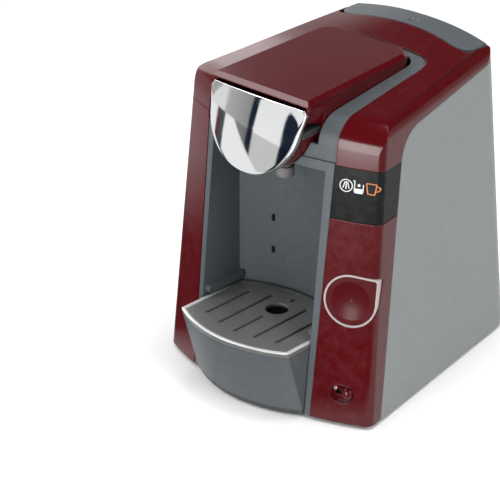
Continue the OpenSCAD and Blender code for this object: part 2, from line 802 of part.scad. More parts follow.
// Behind the button: a cup that carries the spring and leads the stem, with two feet against
// the column panel and four legs that hold the circuit board
module button_guide() color("dimgray") on_front(button_x, button_z) difference() {
    union() {
        translate([0, 0, -cup_z]) cylinder(r = 14, h = cup_z - 4.5 - button_travel);
        translate([-4, -24, -cup_z]) cube([8, 48, 1.5]);
        for (side = [-1, 1]) translate([-4, side * 21.8 - 2.2, -cup_z]) cube([8, 4.4, cup_z - wall - 0.3]);
        for (x = [-9, 9], y = [-9, 9]) translate([x, y, 0.1 - board_z])
            cylinder(r = 2, h = board_z - cup_z + 0.5);
    }
    translate([0, 0, 1.5 - cup_z]) cylinder(r = 12, h = cup_z);
    translate([0, 0, -cup_z - 1]) cylinder(r = stem_r + 0.1, h = cup_z);
}

// ---------------------------------------------------------------- power switch

module switch_outline(grow = 0) {
    r = switch_h / 2 + grow;
    run = (switch_w - switch_h) / 2;
    union() {
        for (side = [-1, 1]) translate([side * run, 0]) circle(r);
        square([2 * run, 2 * r], center = true);
    }
}

module switch_plate() color("darkred") on_front(switch_x, switch_z) difference() {
    union() {
        translate([0, 0, -4.4]) linear_extrude(1.6) switch_outline(1.6);
        translate([0, 0, -4.4]) linear_extrude(4.3) difference() {
            switch_outline(-0.15);
            switch_outline(-1.1);
        }
    }
    translate([0, 0, -6]) linear_extrude(6) union() {
        square([switch_travel, 3.2], center = true);
        for (side = [-1, 1]) translate([side * switch_travel / 2, 0]) circle(1.6);
    }
}

module switch_knob() color("darkred") on_front(switch_x, switch_z)
    translate([switch_travel / 2, 0, 0]) union() {
        intersection() {
            translate([0, 0, -2.4]) cylinder(r = 4.1, h = 5);
            translate([0, 0, -4.2]) sphere(5.2);
        }
        translate([0, 0, -7]) cylinder(r = 1.3, h = 5);
    }

module slide_switch() color("silver") on_front(switch_x, switch_z) difference() {
    translate([-9, -4, -12]) cube([18, 8, 7.4]);
    translate([-switch_travel / 2 - 1.8, -1.8, -7.5]) cube([switch_travel + 3.6, 3.6, 4]);
}

// ---------------------------------------------------------------- electronics

board_z = stem_z + button_travel + 1.6;
board_t = 1.6;
lamp_r = 2.5;

module circuit_board() color("darkgreen") on_front(button_x, button_z)
    translate([-13, -20, -board_z - board_t]) cube([26, display_h + 44, board_t]);

module contact_switch() color("black") on_front(button_x, button_z) translate([0, 0, -board_z]) union() {
    translate([-3, -3, 0]) cube([6, 6, 1]);
    cylinder(r = 1.6, h = 1.5);
}

module indicator_lights() color("orange") for (i = [-1:1])
    on_front(button_x, button_z) translate([i * 8, button_drop + 5, -board_z]) union() {
        cylinder(r = lamp_r, h = 5);
        translate([0, 0, 5]) sphere(lamp_r);
    }

module speaker() color("dimgray") translate([speaker_x, speaker_y, skirt_z + 2.3]) rotate_extrude()
    polygon([[0, 0.2], [18, 0.2], [18, 2.4], [12, 5], [9, 5], [9, 9], [0, 9]]);
speaker_x = 46;
speaker_y = 6;

// ---------------------------------------------------------------- drip tray

// The leaning, bowed front of the tray
module tray_front(inset = 0) translate([0, tray_front_y, grille_z]) rotate([tray_lean, 0, 0])
    translate([0, tray_r, -2 * reach / 4]) cylinder(r = tray_r - inset, h = reach, $fn = 180);

module tray_form(inset = 0) intersection() {
    tray_front(inset);
    linear_extrude(reach / 2) bay_outline(0.6 + inset);
}

module drip_tray() color("slategray") difference() {
    intersection() {
        tray_form();
        slab(tray_floor_z, grille_z - 3.9);
    }
    intersection() {
        tray_form(2.2);
        slab(tray_floor_z + 2, grille_z);
    }
}

module drip_grille() color("lightgray") difference() {
    union() {
        intersection() {
            tray_form(0);
            slab(grille_z - 3.6, grille_z);
        }
        intersection() {
            tray_form(2.6);
            slab(grille_z - 6.2, grille_z - 1);
        }
    }
    intersection() {
        tray_form(4);
        slab(grille_z - 10, grille_z - 2.2);
    }
    for (i = [-2, -1, 1, 2]) let(tuck = abs(i) == 2 ? 4.6 : 0)
        slot(i * slot_pitch, -104.6 + tuck, -49.8 - tuck * 1.2);
    slot(0, -106.8, drain_y - drain_r - 4.6);
    slot(0, -50.2, -44.2);
    translate([0, drain_y, grille_z - 10]) cylinder(r = drain_r, h = 20);
}
drain_y = -63.6;

module slot(x, y1, y2) translate([x, 0, grille_z - 10]) linear_extrude(20) union() {
    translate([-slot_w / 2, y1 + slot_w / 2]) square([slot_w, y2 - y1 - slot_w]);
    for (y = [y1 + slot_w / 2, y2 - slot_w / 2]) translate([0, y]) circle(slot_w / 2);
}

// ---------------------------------------------------------------- water tank

// The tank's outline, seen from above, inside the rear wall at the level of the opening
module tank_plan(inset = 0) intersection() {
    translate([inset - tank_x, tank_front_y + 1.5 + inset]) square([2 * (tank_x - inset), 60]);
    translate([0, rear_at(0, tank_top_z) - wall - 1.4 - rear_r]) circle(rear_r - inset, $fn = 180);
}

module water_tank() color([0.7, 0.75, 0.78, 0.6]) difference() {
    translate([0, 0, tank_floor_z]) linear_extrude(tank_top_z - 2 - tank_floor_z) tank_plan();
    translate([0, 0, tank_floor_z + 1.8]) linear_extrude(reach) tank_plan(1.6);
    translate([outlet_x, outlet_y, tank_floor_z - 5]) cylinder(r = 3, h = 20);
}
outlet_x = 0;
outlet_y = tank_front_y + 9;

module tank_lid() color("slategray") difference() {
    intersection() {
        skin();
        tank_zone();
    }
    skin(wall);
    // finger mark
    translate([0, tank_front_y + 7, crown_at(0, tank_front_y + 7) + 3.2]) sphere(5);
}

// The frame under the tank lid that drops into the tank's mouth
module tank_plug() color("slategray") difference() {
    intersection() {
        translate([0, 0, tank_top_z - 6]) linear_extrude(60) tank_plan(2);
        front_form(wall + 0.05);
        rear_form(wall + 0.05);
    }
    translate([0, 0, tank_top_z - 8]) linear_extrude(70) tank_plan(3.6);
}

module tank_seal() color("black") translate([outlet_x, outlet_y, tank_floor_z - 3]) rotate_extrude()
    polygon([[1.5, 0], [5, 0], [5, 2.7], [2.8, 2.7], [2.8, 4.6], [1.5, 4.6]]);

// The chute that guides the tank and carries it
module tank_well() color("dimgray") difference() {
    translate([0, 0, skirt_z + 2.3]) linear_extrude(tank_floor_z + 40 - skirt_z - 2.3) tank_plan(-2.4);
    translate([0, 0, tank_floor_z - 0.3]) linear_extrude(reach) tank_plan(-0.6);
    linear_extrude(tank_floor_z - 6) tank_plan(0.4);
    translate([outlet_x, outlet_y, tank_floor_z - 3.2]) cylinder(r = 5.3, h = 10);
    translate([outlet_x, outlet_y, tank_floor_z - 10]) cylinder(r = 2.2, h = 10);
    translate([-10, tank_front_y - 8, 0]) cube([20, 12, tank_floor_z - 6]);
}

// Water runs from the chute's socket forwards, up behind the bay and over to the spout
module water_tube() color("whitesmoke") {
    low = tank_floor_z - 16;
    rise_y = bay_y + 14;
    translate([0, outlet_y, low]) cylinder(r = tube_r, h = tank_floor_z - 7 - low);
    translate([0, rise_y, low]) rotate([-90, 0, 0]) cylinder(r = tube_r, h = outlet_y - rise_y);
    translate([0, rise_y, low]) cylinder(r = tube_r, h = tube_z - low);
    translate([0, nozzle_y, tube_z]) rotate([-90, 0, 0]) cylinder(r = tube_r, h = rise_y - nozzle_y);
    translate([0, nozzle_y, nozzle_z + 15]) cylinder(r = tube_r, h = tube_z - nozzle_z - 15);
    // elbows
    for (p = [[outlet_y, low], [rise_y, low], [rise_y, tube_z], [nozzle_y, tube_z]])
        translate([0, p[0], p[1]]) sphere(tube_r + 0.9);
}

// ---------------------------------------------------------------- base

// The base's rim, just inside the walls
module base_rim(inset, z1, z2) intersection() {
    slab(z1, z2);
    front_form(inset);
    rear_form(inset);
    side_half(1, inset);
    side_half(-1, inset);
    front_corner(1, inset);
    front_corner(-1, inset);
    rear_corner(1, inset);
    rear_corner(-1, inset);
}

box_w = cells * (cell_d + 0.6) + 1.2;
box_l = cell_l + 9;
box_y = 0;
box_h = cell_d + 1.2;

module base_plate() color("dimgray") difference() {
    union() {
        base_rim(wall + 0.7, skirt_z - 1, skirt_z + 2);
        intersection() {
            tray_form(0.4);
            slab(skirt_z - 1, tray_floor_z - 0.3);
        }
        // battery box
        translate([-box_w / 2 - 2, box_y - box_l / 2 - 2, skirt_z - 1])
            cube([box_w + 4, box_l + 4, box_h + 4]);
        // screw posts
        for (p = posts) translate([p[0], p[1], skirt_z - 1]) cylinder(r = 4, h = 12);
    }
    translate([-box_w / 2, box_y - box_l / 2, 0]) cube([box_w, box_l, skirt_z + box_h + 0.6]);
    // seat and screw hole of the battery door
    translate([-box_w / 2 - 1.4, box_y - box_l / 2 - 1.4, 0])
        cube([box_w + 2.8, box_l + 14.4, skirt_z + 0.9]);
    translate([0, box_y + box_l / 2 + 7, 0]) cylinder(r = 1.2, h = skirt_z + 12);
    for (p = posts) {
        translate([p[0], p[1], -1]) cylinder(r = 2.9, h = skirt_z + 1.4);
        translate([p[0], p[1], -1]) cylinder(r = 1.6, h = skirt_z + 20);
    }
    // sound holes under the speaker
    for (i = [0:5]) translate([speaker_x + 8 * cos(60 * i), speaker_y + 8 * sin(60 * i), -1])
        cylinder(r = 1.5, h = 20);
    translate([speaker_x, speaker_y, -1]) cylinder(r = 1.5, h = 20);
    for (p = foot_places) translate([p[0], p[1], -1]) cylinder(r = 6.2, h = skirt_z + 1);
}

posts = [[-62, -50], [62, -50], [-54, 56], [54, 56]];
foot_places = [[-74, -64], [74, -64], [-48, 68], [48, 68]];

module feet() color("black") for (p = foot_places) translate([p[0], p[1], 0]) rotate_extrude()
    polygon([[0, 0], [5.2, 0], [6, 0.8], [6, skirt_z], [0, skirt_z]]);

module battery_door() color("dimgray") difference() {
    translate([-box_w / 2 - 1, box_y - box_l / 2 - 1, skirt_z - 1]) cube([box_w + 2, box_l + 13.6, 1.6]);
    translate([0, box_y + box_l / 2 + 7, -1]) cylinder(r = 1.7, h = 10);
    for (i = [-3:3]) translate([i * 6 - 0.6, box_y + box_l / 2 - 14, skirt_z - 1.1]) cube([1.2, 12, 0.6]);
}

module battery_door_screw() color("silver") translate([0, box_y + box_l / 2 + 7, 0]) union() {
    translate([0, 0, skirt_z - 2]) cylinder(r = 2.8, h = 0.9);
    translate([0, 0, skirt_z - 1.2]) cylinder(r = 1.15, h = 9);
}

module batteries() color("goldenrod") for (i = [0:cells - 1]) {
    x = (i - (cells - 1) / 2) * (cell_d + 0.6);
    up = i % 2 == 0 ? 1 : -1;
    translate([x, box_y, skirt_z + 0.9 + cell_d / 2]) rotate([-90 * up, 0, 0])
        translate([0, 0, -cell_l / 2]) rotate_extrude() polygon([[0, 0], [cell_d / 2 - 0.6, 0],
            [cell_d / 2, 0.6], [cell_d / 2, cell_l - 1.6], [cell_d / 2 - 0.6, cell_l - 1],
            [2.7, cell_l - 1], [2.7, cell_l], [0, cell_l]]);
}

module battery_contacts() color("silver") for (i = [0:cells - 1], end = [-1, 1]) {
    x = (i - (cells - 1) / 2) * (cell_d + 0.6);
    translate([x - 4.5, end > 0 ? box_y + box_l / 2 - 0.7 : box_y - box_l / 2 + 0.2, skirt_z + 3])
        cube([9, 0.5, 10]);
    gap = (box_l - cell_l) / 2 - 1;
    translate([x, box_y + end * (cell_l / 2 + 0.3 + gap / 2), skirt_z + 0.9 + cell_d / 2])
        rotate([90, 0, 0]) cylinder(r = 3.4, h = gap, center = true);
}

module case_screws() color("silver") for (p = posts) translate([p[0], p[1], 0]) union() {
    translate([0, 0, skirt_z - 1.2]) cylinder(r = 2.7, h = 1.5);
    translate([0, 0, skirt_z]) cylinder(r = 1.5, h = 10);
}

base_plate();
feet();
left_side_panel();
right_side_panel();
rear_cover();
top_cover();
left_column_panel();
right_column_panel();
display_window();
bay_liner();
collar();
head_housing();
chrome_cap();
nozzle();
disc_holder();
brew_lid();
lid_inner_plate();
lid_hinge_pins();
button_ring();
start_button();
button_spring();
button_guide();
switch_plate();
switch_knob();
slide_switch();
circuit_board();
contact_switch();
indicator_lights();
speaker();
drip_tray();
drip_grille();
water_tank();
tank_lid();
tank_plug();
tank_seal();
tank_well();
water_tube();
battery_door();
battery_door_screw();
batteries();
battery_contacts();
case_screws();
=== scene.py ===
"""Looks of the toy coffee maker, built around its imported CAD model."""
import bpy
import bmesh
import json
import math
from mathutils import Matrix, Vector
from mathutils.bvhtree import BVHTree

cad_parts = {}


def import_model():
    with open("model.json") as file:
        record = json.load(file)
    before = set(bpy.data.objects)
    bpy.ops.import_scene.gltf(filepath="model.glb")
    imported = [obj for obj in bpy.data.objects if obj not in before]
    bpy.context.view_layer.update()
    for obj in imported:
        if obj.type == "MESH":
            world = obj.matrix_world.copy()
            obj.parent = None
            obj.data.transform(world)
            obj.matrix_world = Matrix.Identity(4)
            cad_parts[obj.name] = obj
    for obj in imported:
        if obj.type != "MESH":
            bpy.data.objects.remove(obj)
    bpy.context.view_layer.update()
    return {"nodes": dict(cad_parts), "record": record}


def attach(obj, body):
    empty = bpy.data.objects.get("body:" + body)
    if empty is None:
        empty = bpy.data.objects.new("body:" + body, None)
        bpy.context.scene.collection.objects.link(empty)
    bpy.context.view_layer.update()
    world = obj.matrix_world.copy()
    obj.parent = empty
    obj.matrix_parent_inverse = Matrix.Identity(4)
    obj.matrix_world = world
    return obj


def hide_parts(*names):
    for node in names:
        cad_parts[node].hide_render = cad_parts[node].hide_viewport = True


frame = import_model()
NODES = frame["nodes"]


# ------------------------------------------------------------------ node helpers
MIX_FACTOR = 0            # a Mix node's sockets for colours
MIX_A = 6
MIX_B = 7
MIX_RESULT = 2


def rgba(colour):
    """A colour with its alpha."""
    return colour if len(colour) == 4 else (*colour, 1)


class Tree:
    """A node tree with short calls for its nodes and links."""

    def __init__(self, tree):
        self.tree = tree

    def add(self, kind, inputs=None, **settings):
        """A new node with its settings, and its inputs set or linked."""
        node = self.tree.nodes.new(kind)
        for key, value in settings.items():
            setattr(node, key, value)
        for key, value in (inputs or {}).items():
            if isinstance(value, bpy.types.NodeSocket):
                self.tree.links.new(value, node.inputs[key])
            else:
                node.inputs[key].default_value = value
        return node

    def link(self, a, b):
        self.tree.links.new(a, b)

    def ramp(self, value, stops):
        """The colour at a value, between stops of (place, colour)."""
        node = self.add("ShaderNodeValToRGB", {"Fac": value})
        while len(node.color_ramp.elements) < len(stops):
            node.color_ramp.elements.new(0.5)
        for element, (place, colour) in zip(node.color_ramp.elements, stops):
            element.position = place
            element.color = rgba(colour)
        return node.outputs["Color"]

    def math(self, operation, a, b=0.0, clamp=False):
        return self.add("ShaderNodeMath", {0: a, 1: b}, operation=operation, use_clamp=clamp).outputs[0]

    def spread(self, value, low, high, from_low=0.0, from_high=1.0):
        """The value carried from one range into another, and held at its ends."""
        return self.add("ShaderNodeMapRange", {"Value": value, "From Min": from_low, "From Max": from_high,
                                               "To Min": low, "To Max": high}).outputs["Result"]

    def fade(self, value, start, end):
        """0 up to the start and 1 past the end."""
        return self.spread(value, 0.0, 1.0, start, end)

    def mix(self, factor, a, b, blend="MIX"):
        """Colour a with colour b blended over it by the factor."""
        node = self.add("ShaderNodeMix", data_type="RGBA", blend_type=blend)
        for index, value in ((MIX_FACTOR, factor), (MIX_A, a), (MIX_B, b)):
            if isinstance(value, bpy.types.NodeSocket):
                self.link(value, node.inputs[index])
            elif index == MIX_FACTOR:
                node.inputs[index].default_value = value
            else:
                node.inputs[index].default_value = rgba(value)
        return node.outputs[MIX_RESULT]

    def noise(self, vector, scale, detail=3.0, rough=0.5, distortion=0.0):
        return self.add("ShaderNodeTexNoise", {"Vector": vector, "Scale": scale, "Detail": detail,
                                               "Roughness": rough, "Distortion": distortion}).outputs["Fac"]


def new_group(name, inputs, outputs):
    """An empty shader group with its sockets; returns (group, tree, input node, output node)."""
    group = bpy.data.node_groups.new(name, "ShaderNodeTree")
    for label, kind, value in inputs:
        socket = group.interface.new_socket(label, in_out="INPUT", socket_type=kind)
        if value is not None:
            socket.default_value = value
    for label, kind in outputs:
        group.interface.new_socket(label, in_out="OUTPUT", socket_type=kind)
    tree = Tree(group)
    return group, tree, tree.add("NodeGroupInput"), tree.add("NodeGroupOutput")


def use_group(t, group, inputs):
    """A node that runs a shared group, with its inputs set or linked."""
    node = t.add("ShaderNodeGroup")
    node.node_tree = group
    for key, value in inputs.items():
        if isinstance(value, bpy.types.NodeSocket):
            t.link(value, node.inputs[key])
        elif isinstance(value, tuple):
            node.inputs[key].default_value = rgba(value)
        else:
            node.inputs[key].default_value = value
    return node


# ------------------------------------------------------------------ shared finishes
FLOAT = "NodeSocketFloat"
VECTOR = "NodeSocketVector"
COLOUR = "NodeSocketColor"
MIDDLE_GREY = (0.5, 0.5, 0.5, 1)
GRAIN_HEIGHT = 0.001      # height of a full step of grain or wave
SHARP_EDGE = (0.52, 0.62)     # pointedness where an edge starts to wear, and where it is worn through
WORN_GAIN = 1.35          # a worn edge's colour is the plastic's times this
WORN_LIFT = 0.03          # and plus this
WORN_ROUGHNESS = 0.12     # how much rougher a worn edge is


def moulded_finish_group():
    """Moulded plastic: faint flow marks in the colour, smears in the gloss, fine skin in the normal."""
    group, t, gin, gout = new_group(
        "Moulded Finish",
        [("Vector", VECTOR, None), ("Color", COLOUR, MIDDLE_GREY), ("Color Shift", FLOAT, 0.06),
         ("Roughness", FLOAT, 0.3), ("Roughness Spread", FLOAT, 0.1), ("Grain Scale", FLOAT, 1500.0),
         ("Grain Depth", FLOAT, 0.02), ("Wave Depth", FLOAT, 0.02), ("Edge Radius", FLOAT, 0.0006)],
        [("Color", COLOUR), ("Roughness", FLOAT), ("Normal", VECTOR)])
    place = gin.outputs["Vector"]
    flow = t.noise(place, scale=14.0, detail=3.0, rough=0.5, distortion=0.6)
    smear = t.noise(place, scale=55.0, detail=4.0, rough=0.6)
    shift = t.math("MULTIPLY", t.math("SUBTRACT", flow, 0.5), gin.outputs["Color Shift"])
    bright = t.add("ShaderNodeHueSaturation", {"Color": gin.outputs["Color"],
                                               "Value": t.math("ADD", 1.0, shift)}).outputs["Color"]
    t.link(bright, gout.inputs["Color"])
    smeared = t.math("MULTIPLY", t.math("SUBTRACT", smear, 0.5), gin.outputs["Roughness Spread"])
    rough = t.math("ADD", gin.outputs["Roughness"], smeared, clamp=True)
    t.link(rough, gout.inputs["Roughness"])
    grain = t.noise(place, gin.outputs["Grain Scale"], detail=2.0, rough=0.6)
    wave = t.noise(place, scale=30.0, detail=1.0, rough=0.4)
    height = t.math("ADD", t.math("MULTIPLY", grain, gin.outputs["Grain Depth"]),
                    t.math("MULTIPLY", wave, gin.outputs["Wave Depth"]))
    edge = t.add("ShaderNodeBevel", {"Radius": gin.outputs["Edge Radius"]}, samples=4)
    bump = t.add("ShaderNodeBump", {"Height": height, "Strength": 1.0, "Distance": GRAIN_HEIGHT,
                                    "Normal": edge.outputs["Normal"]})
    t.link(bump.outputs["Normal"], gout.inputs["Normal"])
    return group


def edge_wear_group():
    """Mask of worn edges, from how pointed the surface is, broken up by noise."""
    group, t, gin, gout = new_group(
        "Edge Wear", [("Vector", VECTOR, None), ("Amount", FLOAT, 0.3)], [("Mask", FLOAT)])
    point = t.add("ShaderNodeNewGeometry").outputs["Pointiness"]
    sharp = t.fade(point, *SHARP_EDGE)
    patch = t.fade(t.noise(gin.outputs["Vector"], scale=160.0, detail=4.0, rough=0.7), 0.4, 0.7)
    t.link(t.math("MULTIPLY", t.math("MULTIPLY", sharp, patch), gin.outputs["Amount"], clamp=True),
           gout.inputs["Mask"])
    return group


MOULDED = moulded_finish_group()
WEAR = edge_wear_group()


# ------------------------------------------------------------------ materials
def plastic(name, colour, rough, shift=0.06, spread=0.08, grain=1500.0, grain_depth=0.02, wave=0.0,
            wear=0.25, ior=1.5, metallic=0.0, specular=0.5, clear=0.0, edge=0.0006):
    """A moulded plastic, from satin to high gloss."""
    material = bpy.data.materials.new(name)
    material.use_nodes = True
    material.node_tree.nodes.clear()
    t = Tree(material.node_tree)
    place = t.add("ShaderNodeTexCoord").outputs["Object"]
    finish = use_group(t, MOULDED, {
        "Vector": place, "Color": colour, "Color Shift": shift, "Roughness": rough,
        "Roughness Spread": spread, "Grain Scale": grain, "Grain Depth": grain_depth,
        "Wave Depth": wave, "Edge Radius": edge})
    worn = use_group(t, WEAR, {"Vector": place, "Amount": wear}).outputs["Mask"]
    pale = tuple(min(1.0, c * WORN_GAIN + WORN_LIFT) for c in colour)
    base = t.mix(worn, finish.outputs["Color"], pale)
    rough_out = t.math("ADD", finish.outputs["Roughness"], t.math("MULTIPLY", worn, WORN_ROUGHNESS),
                       clamp=True)
    shader = t.add("ShaderNodeBsdfPrincipled", {
        "Base Color": base, "Roughness": rough_out, "Normal": finish.outputs["Normal"],
        "Metallic": metallic, "IOR": ior, "Specular IOR Level": specular, "Transmission Weight": clear})
    out = t.add("ShaderNodeOutputMaterial")
    t.link(shader.outputs[0], out.inputs["Surface"])
    return material


def chrome(name, colour=(0.86, 0.87, 0.88), rough=0.035):
    """Bright plating: mirror-like, with faint smears and fine ripples."""
    material = bpy.data.materials.new(name)
    material.use_nodes = True
    material.node_tree.nodes.clear()
    t = Tree(material.node_tree)
    place = t.add("ShaderNodeTexCoord").outputs["Object"]
    smear = t.noise(place, scale=70.0, detail=5.0, rough=0.65)
    ripple = t.noise(place, scale=18.0, detail=1.0, rough=0.3)
    bump = t.add("ShaderNodeBump", {"Height": ripple, "Strength": 0.12, "Distance": 0.001})
    smeared = tuple(c * 0.93 for c in colour)
    tint = t.mix(t.spread(smear, low=0.0, high=0.25), colour, smeared)
    dulled = t.spread(smear, low=rough * 0.5, high=rough * 1.8, from_low=0.35, from_high=0.75)
    shader = t.add("ShaderNodeBsdfPrincipled", {
        "Base Color": tint, "Metallic": 1.0, "Roughness": dulled, "Normal": bump.outputs["Normal"]})
    out = t.add("ShaderNodeOutputMaterial")
    t.link(shader.outputs[0], out.inputs["Surface"])
    return material


RED = (0.072, 0.0018, 0.0036)
MAT = {
    "red_gloss": plastic("Wine Red Gloss", RED, rough=0.13, shift=0.04, spread=0.015, grain=900.0,
                         grain_depth=0.002, wave=0.003, specular=0.42, edge=0.0008),
    "silver_satin": plastic("Silver Satin Plastic", (0.240, 0.256, 0.254), rough=0.40, shift=0.05,
                            grain=2600.0, grain_depth=0.03, metallic=0.15, wear=0.15, specular=0.3,
                            edge=0.0012),
    "slate": plastic("Slate Grey Plastic", (0.082, 0.094, 0.102), rough=0.42, grain=2400.0,
                     grain_depth=0.03, metallic=0.1, specular=0.35, edge=0.0008),
    "black_gloss": plastic("Black Gloss Window", (0.010, 0.0105, 0.0105), rough=0.16, spread=0.03,
                           grain_depth=0.002, specular=0.12),
    "dark_plastic": plastic("Dark Moulded Plastic", (0.035, 0.036, 0.040), rough=0.5, grain=1800.0,
                            grain_depth=0.06),
    "chrome": chrome("Bright Chrome"),
    "metallised": plastic("Satin Metallised Plastic", (0.200, 0.202, 0.198), rough=0.34, grain=2200.0,
                          grain_depth=0.03, metallic=0.45, wear=0.1, edge=0.0012),
    "pale_plastic": plastic("Pale Grey Plastic", (0.215, 0.200, 0.195), rough=0.30, metallic=0.2),
    "steel": chrome("Zinc Plated Steel", (0.55, 0.55, 0.53), rough=0.22),
    "rubber": plastic("Black Rubber", (0.02, 0.02, 0.02), rough=0.75, grain=1600.0, grain_depth=0.1,
                      wear=0.05),
    "clear": plastic("Clear Tank Plastic", (0.86, 0.92, 0.94), rough=0.10, wear=0.0, shift=0.03,
                     clear=0.92, ior=1.3),
    "tube": plastic("Soft Pale Tube", (0.62, 0.62, 0.58), rough=0.45, wear=0.0),
    "board_green": plastic("Board Lacquer", (0.01, 0.11, 0.04), rough=0.3, shift=0.2),
    "lamp": plastic("Amber Lamp", (0.85, 0.28, 0.02), rough=0.15, wear=0.0),
    "cell": plastic("Cell Sleeve", (0.45, 0.25, 0.04), rough=0.28, metallic=0.4),
}
PRINT_WHITE = plastic("White Print", (0.62, 0.64, 0.64), rough=0.45, wear=0.1, edge=0.0)
PRINT_ORANGE = plastic("Orange Print", (0.58, 0.19, 0.05), rough=0.45, wear=0.1, edge=0.0)
BUTTON_RED = plastic("Button Red", RED, rough=0.30, shift=0.04, spread=0.03, grain_depth=0.004,
                     specular=0.2)
BRIGHT_RING = plastic("Bright Ring", (0.44, 0.36, 0.36), rough=0.25, metallic=0.2, wear=0.1, edge=0.0)
BRIGHT_RIM = plastic("Polished Rim", (0.66, 0.67, 0.67), rough=0.22, metallic=0.25, wear=0.1, edge=0.0)
RIM_PAINTED_SHADE = (0.07, 0.072, 0.072)      # painted shade: the polished rim's colour where it runs back into the shaded bay

for entry in frame["record"]["subparts"]:
    mesh = NODES[entry["node"]].data
    mesh.materials.clear()
    mesh.materials.append(MAT[entry["material_slot"]])
for node, material in (("start_button", BUTTON_RED), ("button_ring", BRIGHT_RING),
                       ("slide_switch", MAT["dark_plastic"])):
    NODES[node].data.materials[0] = material


def paint_shade_to_rear(material, colour, front_y, rear_y):
    """Paints shade into a plastic's colour: darker from front to rear."""
    t = Tree(material.node_tree)
    shader = next(n for n in t.tree.nodes if n.type == "BSDF_PRINCIPLED")
    before = shader.inputs["Base Color"].links[0].from_socket
    place = t.add("ShaderNodeTexCoord").outputs["Object"]
    y = t.add("ShaderNodeSeparateXYZ", {"Vector": place}).outputs["Y"]
    t.link(t.mix(t.fade(y, front_y, rear_y), before, colour), shader.inputs["Base Color"])


# painted shade on the grille's polished rim: darker toward the rear, where it runs back into the bay
paint_shade_to_rear(BRIGHT_RIM, RIM_PAINTED_SHADE, front_y=-0.092, rear_y=-0.058)


# ------------------------------------------------------------------ printed marks
AHEAD_Y = -0.3            # a plane in front of the whole machine
PRINT_RAISE = 0.00012     # how far a printed line stands out of its face
PRINT_SINK = 0.00004      # how far it reaches into the face
PRINT_STEP = 0.0004       # spacing of an open line's points, so that it follows a bowed face


class Face:
    """The visible front of a CAD node, to lay marks on: points are (x, z), found from the front."""

    def __init__(self, node):
        mesh = NODES[node].data
        self.tree = BVHTree.FromPolygons([v.co for v in mesh.vertices], [p.vertices for p in mesh.polygons])

    def point(self, x, z, lift):
        hit, normal, _, _ = self.tree.ray_cast(Vector((x, AHEAD_Y, z)), Vector((0, 1, 0)))
        return hit + normal * lift


def stroke(work, face, points, width, closed):
    """A printed line of one width along points (x, z), closed or open, with a small thickness."""
    corners = ((1, PRINT_RAISE), (-1, PRINT_RAISE), (-1, -PRINT_SINK), (1, -PRINT_SINK))
    rings = []
    count = len(points)
    for i, here in enumerate(points):
        before = points[(i - 1) % count] if closed or i else here
        after = points[(i + 1) % count] if closed or i < count - 1 else here
        along = Vector((after[0] - before[0], after[1] - before[1])).normalized()
        across = Vector((-along[1], along[0])) * width / 2
        rings.append([
            work.verts.new(face.point(here[0] + side * across[0], here[1] + side * across[1], lift))
            for side, lift in corners])
    for i in range(count if closed else count - 1):
        a = rings[i]
        b = rings[(i + 1) % count]
        for k in range(4):
            work.faces.new((a[k], a[(k + 1) % 4], b[(k + 1) % 4], b[k]))
    if not closed:
        work.faces.new(rings[0])
        work.faces.new(rings[-1][::-1])


def arc(x, z, r, start=0.0, end=360.0, steps=40, squash=1.0):
    """Points of an arc or a whole ring, in degrees from the right; squash narrows it."""
    whole = abs(end - start) >= 360
    return [(x + r * squash * math.cos(math.radians(start + (end - start) * i / steps)),
             z + r * math.sin(math.radians(start + (end - start) * i / steps)))
            for i in range(steps if whole else steps + 1)]


def part_way(a, b, i, count):
    """The point after i of count equal steps from a to b."""
    return a[0] + (b[0] - a[0]) * i / count, a[1] + (b[1] - a[1]) * i / count


def dense(points):
    """The same open line with a point every step."""
    out = [points[0]]
    for a, b in zip(points, points[1:]):
        count = max(1, int(math.dist(a, b) / PRINT_STEP))
        out += [part_way(a, b, i, count) for i in range(1, count + 1)]
    return out


def finish_piece(name, work, material, body):
    """Turns a work mesh into a piece that rides a body and fills a material slot."""
    mesh = bpy.data.meshes.new(name)
    work.to_mesh(mesh)
    work.free()
    mesh.materials.append(material)
    piece = bpy.data.objects.new(name, mesh)
    bpy.context.scene.collection.objects.link(piece)
    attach(piece, body)
    return piece


def printed(name, node, strokes, material):
    """One mark of printed strokes on a node of the body."""
    work = bmesh.new()
    face = Face(node)
    for points, width, closed in strokes:
        stroke(work, face, points if closed else dense(points), width, closed)
    bmesh.ops.recalc_face_normals(work, faces=work.faces)
    finish_piece(name, work, material, "body")


ICON_LINE = 0.00064       # width of the pictograms' lines
ICON_Z = 0.1678           # height of their row
DISC_X = 0.0638
DISC_R = 0.0040
TANK_X = 0.0719
TANK_FILL = 0.0026        # height of the water in the tank
DROP_R = 0.0005
DROP_LINE = 0.0009
CUP_X = 0.0803
CUP_EAR_R = 0.0017


